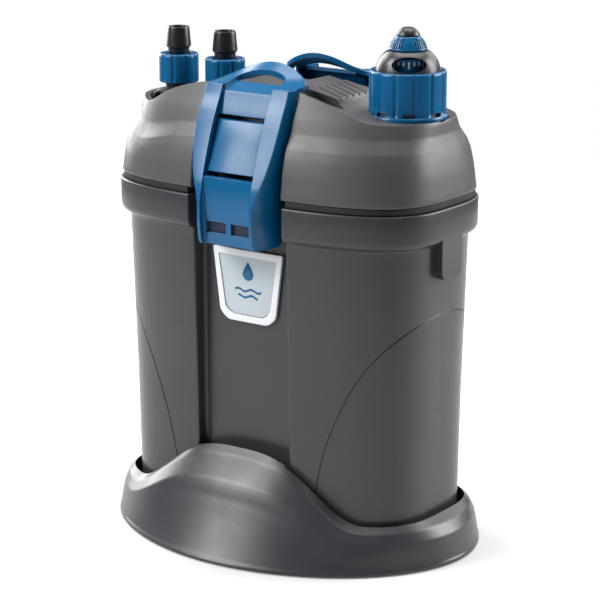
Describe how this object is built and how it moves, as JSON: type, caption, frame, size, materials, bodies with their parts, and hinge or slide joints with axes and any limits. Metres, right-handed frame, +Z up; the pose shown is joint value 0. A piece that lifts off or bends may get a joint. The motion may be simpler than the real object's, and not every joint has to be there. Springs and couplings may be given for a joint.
{
  "type": "external canister aquarium filter",
  "caption": "External canister water filter with an elliptical foot, blue clips front and back, screw-on hose tails and a plug-in heater in the head.",
  "frame": {"origin": "centre of the footprint, on the surface the filter stands on", "axes": "+Z up; -Y is the front, with the badge; +X towards the heater, -X towards the hose connections"},
  "size_m": [0.275, 0.2126, 0.3555],
  "materials": {
    "body_plastic": "satin moulded",
    "head_plastic": "finely textured",
    "foot_plastic": "satin moulded",
    "blue_plastic": "glossy moulded",
    "black_plastic": "semi-gloss",
    "dome_plastic": "satin",
    "inner_plastic": "matt",
    "seal_rubber": "matt",
    "badge_white": "glossy",
    "badge_silver": "satin",
    "steel": "plain",
    "tube_glass": "clear",
    "ceramic": "matt ceramic",
    "rotor_magnet": "bonded ferrite",
    "foam_coarse": "open-cell foam",
    "foam_fine": "open-cell foam",
    "fleece": "fibre fleece"
  },
  "bodies": {
    "filter": {"badge_frame": "badge_white", "badge_plate": "badge_silver", "base_foot": "foot_plastic", "canister": "body_plastic", "canister_seal": "seal_rubber", "fleece_pad": "fleece", "front_hinge_pin": "steel", "front_latch_bracket": "blue_plastic", "head_cover": "head_plastic", "head_plate": "inner_plastic", "head_screw_1": "steel", "head_screw_2": "steel", "head_screw_3": "steel", "head_screw_4": "steel", "heater_element": "ceramic", "heater_gland": "black_plastic", "heater_housing": "dome_plastic", "heater_seal": "seal_rubber", "heater_tube": "tube_glass", "hose_elbow": "black_plastic", "hose_manifold": "black_plastic", "impeller_shaft": "ceramic", "inlet_duct": "inner_plastic", "inlet_tail": "black_plastic", "intake_strainer": "inner_plastic", "intake_tube": "inner_plastic", "lower_basket": "inner_plastic", "lower_foam": "foam_coarse", "mains_gland": "seal_rubber", "motor_block": "inner_plastic", "outlet_duct": "inner_plastic", "outlet_tail": "black_plastic", "prefilter_sleeve": "foam_coarse", "primer_spring": "steel", "rear_hinge_pin": "steel", "rear_latch_bracket": "blue_plastic", "rubber_foot_1": "seal_rubber", "rubber_foot_2": "seal_rubber", "rubber_foot_3": "seal_rubber", "rubber_foot_4": "seal_rubber", "shaft_bush_bottom": "seal_rubber", "shaft_bush_top": "seal_rubber", "upper_basket": "inner_plastic", "upper_foam": "foam_fine", "volute_cover": "inner_plastic"},
    "front_latch": {"front_latch": "blue_plastic"},
    "rear_latch": {"rear_latch": "blue_plastic"},
    "heater_collar": {"heater_collar": "blue_plastic"},
    "heater_dial": {"heater_dial": "blue_plastic", "heater_scale_drum": "blue_plastic"},
    "inlet_nut": {"inlet_nut": "blue_plastic"},
    "outlet_nut": {"outlet_nut": "blue_plastic"},
    "impeller": {"impeller_rotor": "rotor_magnet"},
    "primer": {"primer_pad": "head_plastic"}
  },
  "joints": [
    {"name": "front_latch_hinge", "type": "hinge", "parent": "filter", "child": "front_latch", "pos_m": [0, -0.058, 0.275], "axis": [-1, 0, 0], "range_deg": [0, 8]},
    {"name": "rear_latch_hinge", "type": "hinge", "parent": "filter", "child": "rear_latch", "pos_m": [0, 0.058, 0.275], "axis": [1, 0, 0], "range_deg": [0, 8]},
    {"name": "heater_collar_turn", "type": "hinge", "parent": "filter", "child": "heater_collar", "pos_m": [0.0896, 0, 0.31], "axis": [0, 0, 1], "range_deg": [0, 90]},
    {"name": "heater_dial_turn", "type": "hinge", "parent": "filter", "child": "heater_dial", "pos_m": [0.0896, 0, 0.345], "axis": [0, 0, 1], "range_deg": [-120, 120]},
    {"name": "inlet_nut_turn", "type": "hinge", "parent": "filter", "child": "inlet_nut", "pos_m": [-0.1012, 0, 0.311], "axis": [0, 0, 1], "continuous": true},
    {"name": "outlet_nut_turn", "type": "hinge", "parent": "filter", "child": "outlet_nut", "pos_m": [-0.0605, 0, 0.311], "axis": [0, 0, 1], "continuous": true},
    {"name": "impeller_spin", "type": "hinge", "parent": "filter", "child": "impeller", "pos_m": [0.022, 0, 0.24], "axis": [0, 0, 1], "continuous": true},
    {"name": "primer_press", "type": "slide", "parent": "filter", "child": "primer", "axis": [0, 0, -1], "range_m": [0, 0.005], "stiffness_N_per_m": 600, "springref_m": -0.004, "deforming": ["primer_spring"]}
  ]
}
